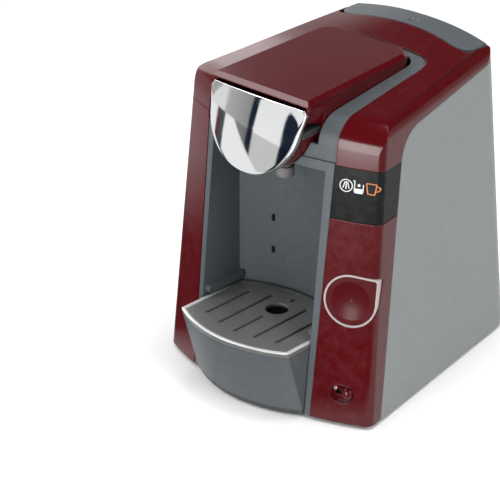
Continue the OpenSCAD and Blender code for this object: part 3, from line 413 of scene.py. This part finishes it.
def display_icons():
    """Pictograms on the display: a disc with legs, a tank with a drop, and a cup."""
    z = ICON_Z
    x = DISC_X
    printed("Icon_Disc", "display_window", [
        (arc(x, z, DISC_R), ICON_LINE, True),
        ([(x, z + 0.0028), (x, z - 0.0024)], ICON_LINE, False),
        ([(x - 0.0008, z + 0.0026), (x - 0.0020, z - 0.0018)], ICON_LINE, False),
        ([(x + 0.0008, z + 0.0026), (x + 0.0020, z - 0.0018)], ICON_LINE, False)], PRINT_WHITE)
    x = TANK_X
    printed("Icon_Tank", "display_window", [
        ([(x - 0.0038, z + 0.0040), (x - 0.0027, z + 0.0040), (x - 0.0027, z - 0.0030),
          (x - 0.0022, z - 0.0038), (x + 0.0022, z - 0.0038), (x + 0.0027, z - 0.0030),
          (x + 0.0028, z + 0.0022)], ICON_LINE, False),
        ([(x - 0.0022, z - 0.0022), (x + 0.0022, z - 0.0022)], TANK_FILL, False),
        (arc(x, z + 0.0014, DROP_R, steps=14), DROP_LINE, True)], PRINT_WHITE)
    x = CUP_X
    printed("Icon_Cup", "display_window", [
        ([(x - 0.0038, z + 0.0036), (x - 0.0026, z - 0.0034), (x + 0.0016, z - 0.0036),
          (x + 0.0026, z + 0.0034), (x - 0.0038, z + 0.0036)], ICON_LINE, False),
        (arc(x + 0.0026, z + 0.0005, CUP_EAR_R, start=80, end=-95, steps=20), ICON_LINE, False)],
        PRINT_ORANGE)


ZERO_X = 0.0673
ZERO_Z = 0.0256
ZERO_R = 0.0009
ZERO_LINE = 0.0004


def switch_mark():
    """The zero on the switch's plate, above the slot."""
    ring = arc(ZERO_X, ZERO_Z, ZERO_R, steps=24, squash=0.8)
    printed("Switch_Zero", "switch_plate", [(ring, ZERO_LINE, True)], PRINT_WHITE)


# ------------------------------------------------------------------ outlines of CAD faces
WELD = 2e-6               # vertices closer than this are one


def boundary_loops(chosen):
    """Closed loops of vertices round a set of faces."""
    onward = {}
    for face in chosen:
        for loop in face.loops:
            if sum(f in chosen for f in loop.edge.link_faces) == 1:
                onward.setdefault(loop.vert, []).append(loop.link_loop_next.vert)
    loops = []
    while onward:
        here = next(iter(onward))
        ring = []
        while here in onward:
            ring.append(here)
            after = onward[here].pop()
            if not onward[here]:
                del onward[here]
            here = after
        loops.append(ring)
    return loops


def longest(loops):
    """The loop with the greatest length round."""
    return max(loops, key=lambda ring: sum((a.co - b.co).length for a, b in zip(ring, ring[1:] + ring[:1])))


def welded(node):
    """A work mesh of a CAD node, with its doubled vertices joined."""
    work = bmesh.new()
    work.from_mesh(NODES[node].data)
    bmesh.ops.remove_doubles(work, verts=work.verts, dist=WELD)
    return work


# ------------------------------------------------------------------ plated cap
CAD_CAP_R = 0.220         # radius of the CAD cap's dome
CAP_R = 0.280             # radius of the flatter dome that covers the head's corners
CAP_PROUD = 0.005         # how far the dome's middle stands in front of the face's plane
HEAD_H = 0.0512           # height of the face
FACE_PLACE = Vector((0, -0.0805, 0.2155))
FACE_LEAN = math.radians(14.6)
ON_DOME = 6e-5            # a vertex this close to the CAD dome's sphere is on it
DOME_LEAST = 0.0019       # height where the dome levels out, above the head's corners
DOME_BLEND = 0.0003       # how softly it does so
DOME_STEP = 0.001         # spacing of points round the dome
# the dome's rows, as shares of the way from its middle to its rim, closer together toward the rim
DOME_SHARES = (0.03, 0.1, 0.2, 0.3, 0.4, 0.5, 0.58, 0.66, 0.74, 0.8, 0.86, 0.91, 0.95)
ROLL = 0.0009             # radius of the rolled rim
ROLL_STEPS = 6
CAP_WALL = 0.0012
CAP_SKIRT = 0.0034        # depth of the rim
INNER_SHARE = 0.02        # the innermost row of the cap's back, as a share of the outline


def to_face(point):
    """A point in the face's own frame: x across, y into the head, z up the face."""
    return Matrix.Rotation(FACE_LEAN, 3, "X") @ (point - FACE_PLACE)


def from_face(x, y, z):
    """A point of the face's own frame, back in the machine's."""
    return Matrix.Rotation(-FACE_LEAN, 3, "X") @ Vector((x, y, z)) + FACE_PLACE


def dome_height(x, z):
    """Height of the dome over the face's plane; it levels out above the head's corners."""
    sphere = CAP_PROUD - CAP_R + math.sqrt(CAP_R ** 2 - x ** 2 - (z + HEAD_H / 2) ** 2)
    return DOME_LEAST + DOME_BLEND * math.log1p(math.exp((sphere - DOME_LEAST) / DOME_BLEND))


def evened(ring):
    """The closed outline with a point every step along it."""
    points = []
    for a, b in zip(ring, ring[1:] + ring[:1]):
        count = max(1, round(math.dist(a, b) / DOME_STEP))
        points += [part_way(a, b, i, count) for i in range(count)]
    return points


def cad_dome_outline():
    """Outline of the CAD cap's dome, as (x, z) in the face's frame."""
    work = welded("chrome_cap")
    place = {v: to_face(v.co) for v in work.verts}
    centre = Vector((0, CAD_CAP_R - CAP_PROUD, -HEAD_H / 2))
    dome = {f for f in work.faces
            if all(abs((place[v] - centre).length - CAD_CAP_R) < ON_DOME for v in f.verts)}
    ring = [(place[v].x, place[v].z) for v in longest(boundary_loops(dome))]
    work.free()
    return evened(ring)


def cap_rows(ring):
    """Rows of the cap's surface (x, z, depth), from the dome's middle over the rim to the back."""
    middle = (0.0, sum(z for _, z in ring) / len(ring))
    reach = [math.dist(p, middle) for p in ring]

    def row(depth, inset, share=1.0):
        """The outline set in by a length, then shrunk to a share, at one depth."""
        return [(middle[0] + (x - middle[0]) * share * (1 - inset / d),
                 middle[1] + (z - middle[1]) * share * (1 - inset / d), depth)
                for (x, z), d in zip(ring, reach)]

    rows = [row(0.0, ROLL, share) for share in DOME_SHARES]
    for step in range(ROLL_STEPS + 1):
        turn = math.radians(90 * step / ROLL_STEPS)
        rows.append(row(ROLL * (1 - math.cos(turn)), ROLL * (1 - math.sin(turn))))
    rows.append(row(CAP_SKIRT, 0.0))
    rows.append(row(CAP_SKIRT, CAP_WALL))
    rows.append(row(ROLL + CAP_WALL, CAP_WALL))
    rows.append(row(CAP_WALL, 0.0, INNER_SHARE))
    return rows


def cap_dome():
    """The plated cap: one dome right into its corners, with a rolled rim."""
    work = bmesh.new()
    mesh_rows = [[work.verts.new(from_face(x, depth - dome_height(x, z), z)) for x, z, depth in row]
                 for row in cap_rows(cad_dome_outline())]
    for a, b in zip(mesh_rows, mesh_rows[1:]):
        for i in range(len(a)):
            j = (i + 1) % len(a)
            work.faces.new((a[i], a[j], b[j], b[i]))
    for row in (mesh_rows[0], mesh_rows[-1]):
        hub = work.verts.new(sum((v.co for v in row), Vector()) / len(row))
        for i in range(len(row)):
            work.faces.new((row[i], row[(i + 1) % len(row)], hub))
    bmesh.ops.recalc_face_normals(work, faces=work.faces)
    for face in work.faces:
        face.smooth = True
    piece = finish_piece("Cap_Dome", work, MAT["chrome"], "body")
    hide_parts("chrome_cap")


# ------------------------------------------------------------------ the grille's bead
GRILLE_Z = 0.054          # height of the grille's top face
AT_HEIGHT = 2e-5          # a face this close to a height lies at it
FACES_UP = 0.99           # upward part of the normal of a face that looks up
BEAD_WIDTH = 0.0032
BEAD_SQUASH = 0.5         # height of the bead over its width
BEAD_INSET = 0.55         # how far the bead lies in from the outline, in its own widths
BEAD_SINK = 0.0002        # how far its middle line lies under the grille's top
BEAD_STEP = 0.0012        # spacing of points along the bead
BEAD_SIDES = 16


def top_outline(node, height):
    """Outer outline of a node's top face, as points."""
    work = welded(node)
    top = {f for f in work.faces
           if f.normal.z > FACES_UP and abs(f.calc_center_median().z - height) < AT_HEIGHT}
    points = [v.co.copy() for v in longest(boundary_loops(top))]
    work.free()
    return points


def bead_tree(name, material):
    """Geometry Nodes: a round bead of named width, squashed in height, along a drawn outline."""
    group = bpy.data.node_groups.new(name, "GeometryNodeTree")
    sockets = group.interface
    sockets.new_socket("Geometry", in_out="INPUT", socket_type="NodeSocketGeometry")
    sockets.new_socket("Width", in_out="INPUT", socket_type=FLOAT).default_value = BEAD_WIDTH
    sockets.new_socket("Squash", in_out="INPUT", socket_type=FLOAT).default_value = BEAD_SQUASH
    sockets.new_socket("Geometry", in_out="OUTPUT", socket_type="NodeSocketGeometry")
    t = Tree(group)
    gin = t.add("NodeGroupInput")
    gout = t.add("NodeGroupOutput")
    path = t.add("GeometryNodeMeshToCurve", {"Mesh": gin.outputs["Geometry"]})
    even = t.add("GeometryNodeResampleCurve", {"Curve": path.outputs["Curve"], "Length": BEAD_STEP},
                 mode="LENGTH")
    half = t.math("MULTIPLY", gin.outputs["Width"], 0.5)
    round_bar = t.add("GeometryNodeCurvePrimitiveCircle", {"Resolution": BEAD_SIDES, "Radius": half})
    scale = t.add("ShaderNodeCombineXYZ", {"X": 1.0, "Y": gin.outputs["Squash"], "Z": 1.0})
    profile = t.add("GeometryNodeTransform", {"Geometry": round_bar.outputs["Curve"],
                                              "Scale": scale.outputs[0]})
    bead = t.add("GeometryNodeCurveToMesh", {"Curve": even.outputs["Curve"],
                                             "Profile Curve": profile.outputs[0]})
    smooth = t.add("GeometryNodeSetShadeSmooth", {"Geometry": bead.outputs["Mesh"]})
    real = t.add("GeometryNodeRealizeInstances", {"Geometry": smooth.outputs["Geometry"]})
    finish = t.add("GeometryNodeSetMaterial", {"Geometry": real.outputs["Geometry"], "Material": material})
    t.link(finish.outputs["Geometry"], gout.inputs["Geometry"])
    return group


def run_tree(name, group, mesh, values, body):
    """Runs a Geometry Nodes tree on a mesh and keeps the result as a plain piece."""
    source = bpy.data.objects.new(name + "_Source", mesh)
    bpy.context.scene.collection.objects.link(source)
    modifier = source.modifiers.new("Tool", "NODES")
    modifier.node_group = group
    for item in group.interface.items_tree:
        if item.item_type == "SOCKET" and item.in_out == "INPUT" and item.name in values:
            modifier[item.identifier] = values[item.name]
    graph = bpy.context.evaluated_depsgraph_get()
    result = bpy.data.meshes.new_from_object(source.evaluated_get(graph))
    result.name = name
    bpy.data.objects.remove(source)
    piece = bpy.data.objects.new(name, result)
    bpy.context.scene.collection.objects.link(piece)
    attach(piece, body)
    return piece


def grille_bead():
    """The bright bead round the grille's top edge."""
    outline = top_outline("drip_grille", GRILLE_Z)
    middle = sum(outline, Vector()) / len(outline)
    path = [p + (middle - p).normalized() * BEAD_WIDTH * BEAD_INSET for p in outline]
    mesh = bpy.data.meshes.new("Bead_Path")
    mesh.from_pydata([(p.x, p.y, GRILLE_Z - BEAD_SINK) for p in path],
                     [(i, (i + 1) % len(path)) for i in range(len(path))], [])
    run_tree("Grille_Bead", bead_tree("Bead Along Outline", BRIGHT_RIM), mesh,
             {"Width": BEAD_WIDTH, "Squash": BEAD_SQUASH}, "tray")


# ------------------------------------------------------------------ the studio's mirrored room
WHITE = (1, 1, 1, 1)
NAVY = (0.012, 0.018, 0.035)
CARD_WHITE = (0.92, 0.92, 0.91)
ROOM_START = -90          # bearing where the room's cards start, in degrees from the front
ROOM_END = 30
ROOM_STOPS = [
    (-90, (0.8, 0.8, 0.8)), (-49.4, (0.78, 0.78, 0.77)),
    (-48.6, (0.46, 0.46, 0.45)), (-39.7, (0.29, 0.29, 0.28)),
    (-39.3, NAVY), (-37.4, NAVY),
    (-37.1, CARD_WHITE), (-27.6, CARD_WHITE),
    (-27.3, NAVY), (-23.0, NAVY),
    (-22.0, (0.9, 0.9, 0.9)), (30, (0.5, 0.5, 0.5))]


def bearing_from_front(t, x, y):
    """The angle of (x, y) from the front, in radians, growing to the right."""
    return t.math("ARCTAN2", x, t.math("MULTIPLY", y, -1.0))


def room_cards(t, turn):
    """What bright parts mirror, by bearing in radians from the front: white, grey and navy cards."""
    bearing = t.fade(turn, math.radians(ROOM_START), math.radians(ROOM_END))
    span = ROOM_END - ROOM_START
    return t.ramp(bearing, [((degrees - ROOM_START) / span, colour) for degrees, colour in ROOM_STOPS])


# ------------------------------------------------------------------ floor
FLOOR_HALF = 30.0
FLOOR_DROP = 0.0002       # the floor lies this far under the feet
HUB_Y = -0.08             # bearings on the floor are taken from here, under the plated cap
FLOOR_ROOM = (0.66, 0.66, 0.65)       # how much of the painted room the floor's far part shows to bright parts
TABLE_WHITE = (0.92, 0.92, 0.92)
TABLE_START = -60         # bearing where the painted table's tones start, in degrees from the front
TABLE_END = -40
# the painted table's tones by bearing, as bright parts mirror them: white, with a dark red strip and a grey
# one side by side
TABLE_STOPS = [
    (0.0, TABLE_WHITE), (0.41, TABLE_WHITE),
    (0.43, (0.13, 0.045, 0.045)), (0.47, (0.10, 0.045, 0.045)),
    (0.50, (0.07, 0.08, 0.085)), (0.57, (0.09, 0.09, 0.095)),
    (0.59, TABLE_WHITE)]
TABLE_EDGE = (0.37, 0.41)     # x - y where the painted table gives way to the painted room
FAR_FLOOR = (0.40, 0.85)      # distance where the floor turns plain white to the eye
PAINTED_CARD_DARK = (0.03, 0.03, 0.035)
# each pair below: where a painted dark card ends, and where the floor past it is plain
FRONT_CARD_X = 0.09       # middle of the painted dark card in front of the machine
FRONT_CARD_HALF = (0.12, 0.22)
FRONT_CARD_AHEAD = (0.26, 0.60)
FRONT_CARD_BEHIND = (-0.14, -0.10)
LEFT_CARD_Y = -0.10       # middle of the painted dark card to the left of it
LEFT_CARD_HALF = (0.26, 0.40)
LEFT_CARD_FAR = (0.30, 0.50)
LEFT_CARD_NEAR = (-0.12, -0.08)


def off_card(t, far, side, near):
    """0 on a painted dark card and 1 off it, from how far past its far, side and near edges a point is."""
    return t.math("MAXIMUM", t.math("MAXIMUM", far, side), near, clamp=True)


def painted_floor_reflection(t, x, y):
    """Painted reflection: what bright parts mirror of the floor, a white table, the room past it, two dark
    cards.
    """
    turn = bearing_from_front(t, x, t.math("ADD", y, -HUB_Y))
    room = t.mix(1.0, room_cards(t, turn), FLOOR_ROOM, "MULTIPLY")
    table = t.ramp(t.fade(turn, math.radians(TABLE_START), math.radians(TABLE_END)), TABLE_STOPS)
    past = t.fade(t.math("SUBTRACT", x, y), *TABLE_EDGE)
    front_card = off_card(
        t, t.fade(t.math("MULTIPLY", y, -1.0), *FRONT_CARD_AHEAD),
        t.fade(t.math("ABSOLUTE", t.math("SUBTRACT", x, FRONT_CARD_X)), *FRONT_CARD_HALF),
        t.fade(y, *FRONT_CARD_BEHIND))
    left_card = off_card(
        t, t.fade(t.math("MULTIPLY", x, -1.0), *LEFT_CARD_FAR),
        t.fade(t.math("ABSOLUTE", t.math("SUBTRACT", y, LEFT_CARD_Y)), *LEFT_CARD_HALF),
        t.fade(x, *LEFT_CARD_NEAR))
    return t.mix(t.math("MINIMUM", front_card, left_card), PAINTED_CARD_DARK, t.mix(past, table, room))


def floor():
    """A white floor that glows for glossy rays with a painted reflection of a table in a room."""
    mesh = bpy.data.meshes.new("Floor")
    corners = [(-1, -1), (1, -1), (1, 1), (-1, 1)]
    mesh.from_pydata([(FLOOR_HALF * a, FLOOR_HALF * b, 0) for a, b in corners], [], [(0, 1, 2, 3)])
    obj = bpy.data.objects.new("Floor", mesh)
    bpy.context.scene.collection.objects.link(obj)
    obj.location.z = -FLOOR_DROP
    material = bpy.data.materials.new("White Floor")
    material.use_nodes = True
    material.node_tree.nodes.clear()
    t = Tree(material.node_tree)
    place = t.add("ShaderNodeTexCoord").outputs["Object"]
    tone = t.mix(t.noise(place, scale=6.0, detail=2.0), (0.93, 0.93, 0.93), (0.95, 0.95, 0.95))
    paint = t.add("ShaderNodeBsdfDiffuse", {"Color": tone})
    spot = t.add("ShaderNodeSeparateXYZ", {"Vector": place})
    x = spot.outputs["X"]
    y = spot.outputs["Y"]
    # painted reflection: for glossy rays only, the floor glows with a table, a room and two dark cards
    floor_painted_reflection = t.add("ShaderNodeEmission", {"Color": painted_floor_reflection(t, x, y), "Strength": 1.0})
    reach = t.math("SQRT", t.math("ADD", t.math("MULTIPLY", x, x), t.math("MULTIPLY", y, y)))
    distant = t.fade(reach, *FAR_FLOOR)
    white = t.add("ShaderNodeEmission", {"Color": WHITE, "Strength": 1.0})
    path = t.add("ShaderNodeLightPath")
    eye = t.add("ShaderNodeMixShader", {0: t.math("MULTIPLY", distant, path.outputs["Is Camera Ray"]),
                                        1: paint.outputs[0], 2: white.outputs[0]})
    mix = t.add("ShaderNodeMixShader", {0: path.outputs["Is Glossy Ray"], 1: eye.outputs[0],
                                        2: floor_painted_reflection.outputs[0]})
    out = t.add("ShaderNodeOutputMaterial")
    t.link(mix.outputs[0], out.inputs["Surface"])
    mesh.materials.append(material)


# ------------------------------------------------------------------ light and camera
SOFT_LIGHT = 0.40         # strength of the even light from all round
ROOM_RISE = [             # the room by how steep a direction is: bright when level, dark when steep
    (0.0, (1, 1, 1)), (0.30, (0.9, 0.9, 0.9)), (0.45, (0.10, 0.10, 0.11)), (1.0, (0.05, 0.05, 0.06))]
CAMERA_AZIMUTH = math.radians(42.8)
CAMERA_ELEVATION = math.radians(26.35)
CAMERA_DISTANCE = 1.7512
CAMERA_TARGET = Vector((-0.10428, 0.022, 0.033165))
CAMERA_LENS = 172.8       # mm
CAMERA_SENSOR = 36.0      # mm
CAMERA_FAR = 100.0        # nothing past this is seen


def area_lamp(name, place, target, width, height, watts):
    """A lamp panel that the camera doesn't see, turned to a target."""
    lamp = bpy.data.lights.new(name, "AREA")
    lamp.shape = "RECTANGLE"
    lamp.size = width
    lamp.size_y = height
    lamp.energy = watts
    obj = bpy.data.objects.new(name, lamp)
    bpy.context.scene.collection.objects.link(obj)
    obj.location = place
    obj.rotation_euler = (Vector(target) - Vector(place)).to_track_quat("-Z", "Y").to_euler()
    obj.visible_camera = False


def world():
    """Even light, a room of cards for bright parts to mirror, and plain white to the eye."""
    scene_world = bpy.data.worlds.new("Studio")
    bpy.context.scene.world = scene_world
    scene_world.use_nodes = True
    scene_world.node_tree.nodes.clear()
    t = Tree(scene_world.node_tree)
    path = t.add("ShaderNodeLightPath")
    seen = t.math("MAXIMUM", path.outputs["Is Camera Ray"], path.outputs["Is Transmission Ray"])
    toward = t.add("ShaderNodeSeparateXYZ", {"Vector": t.add("ShaderNodeTexCoord").outputs["Generated"]})
    dusk = t.ramp(t.math("ABSOLUTE", toward.outputs["Z"]), ROOM_RISE)
    cards = room_cards(t, bearing_from_front(t, toward.outputs["X"], toward.outputs["Y"]))
    studio = t.mix(1.0, dusk, cards, "MULTIPLY")
    soft = t.add("ShaderNodeBackground", {"Color": WHITE, "Strength": SOFT_LIGHT})
    gloss = t.add("ShaderNodeBackground", {"Color": studio, "Strength": 1.0})
    white = t.add("ShaderNodeBackground", {"Color": WHITE, "Strength": 1.0})
    lit = t.add("ShaderNodeMixShader", {0: path.outputs["Is Glossy Ray"], 1: soft.outputs[0],
                                        2: gloss.outputs[0]})
    mix = t.add("ShaderNodeMixShader", {0: seen, 1: lit.outputs[0], 2: white.outputs[0]})
    out = t.add("ShaderNodeOutputWorld")
    t.link(mix.outputs[0], out.inputs["Surface"])


def camera():
    """Looks down from the front right, aimed just left of the body."""
    data = bpy.data.cameras.new("Camera")
    obj = bpy.data.objects.new("Camera", data)
    bpy.context.scene.collection.objects.link(obj)
    level = math.cos(CAMERA_ELEVATION)
    back = Vector((math.sin(CAMERA_AZIMUTH) * level, -math.cos(CAMERA_AZIMUTH) * level,
                   math.sin(CAMERA_ELEVATION)))
    obj.location = CAMERA_TARGET + back * CAMERA_DISTANCE
    obj.rotation_euler = (-back).to_track_quat("-Z", "Y").to_euler()
    data.sensor_width = CAMERA_SENSOR
    data.lens = CAMERA_LENS
    data.clip_end = CAMERA_FAR
    bpy.context.scene.camera = obj


floor()
world()
area_lamp("Front_Box", place=(0.115, -0.80, 0.225), target=(0.05, 0, 0.2), width=0.28, height=0.44,
          watts=3.2)
area_lamp("Left_Box", place=(-1.68, 0.68, 1.0), target=(0, 0, 0.15), width=1.3, height=0.9, watts=9.0)
area_lamp("Key", place=(-1.18, -0.98, 1.55), target=(0, 0, 0.1), width=0.9, height=0.9, watts=14.0)
area_lamp("Right", place=(1.9, -0.3, 1.5), target=(0, 0, 0.1), width=1.0, height=1.0, watts=18.0)
area_lamp("Top", place=(0.3, 0.2, 2.3), target=(0, 0, 0.1), width=1.2, height=1.2, watts=28.0)
display_icons()
cap_dome()
grille_bead()
switch_mark()
camera()
bpy.context.scene.view_settings.view_transform = "Standard"
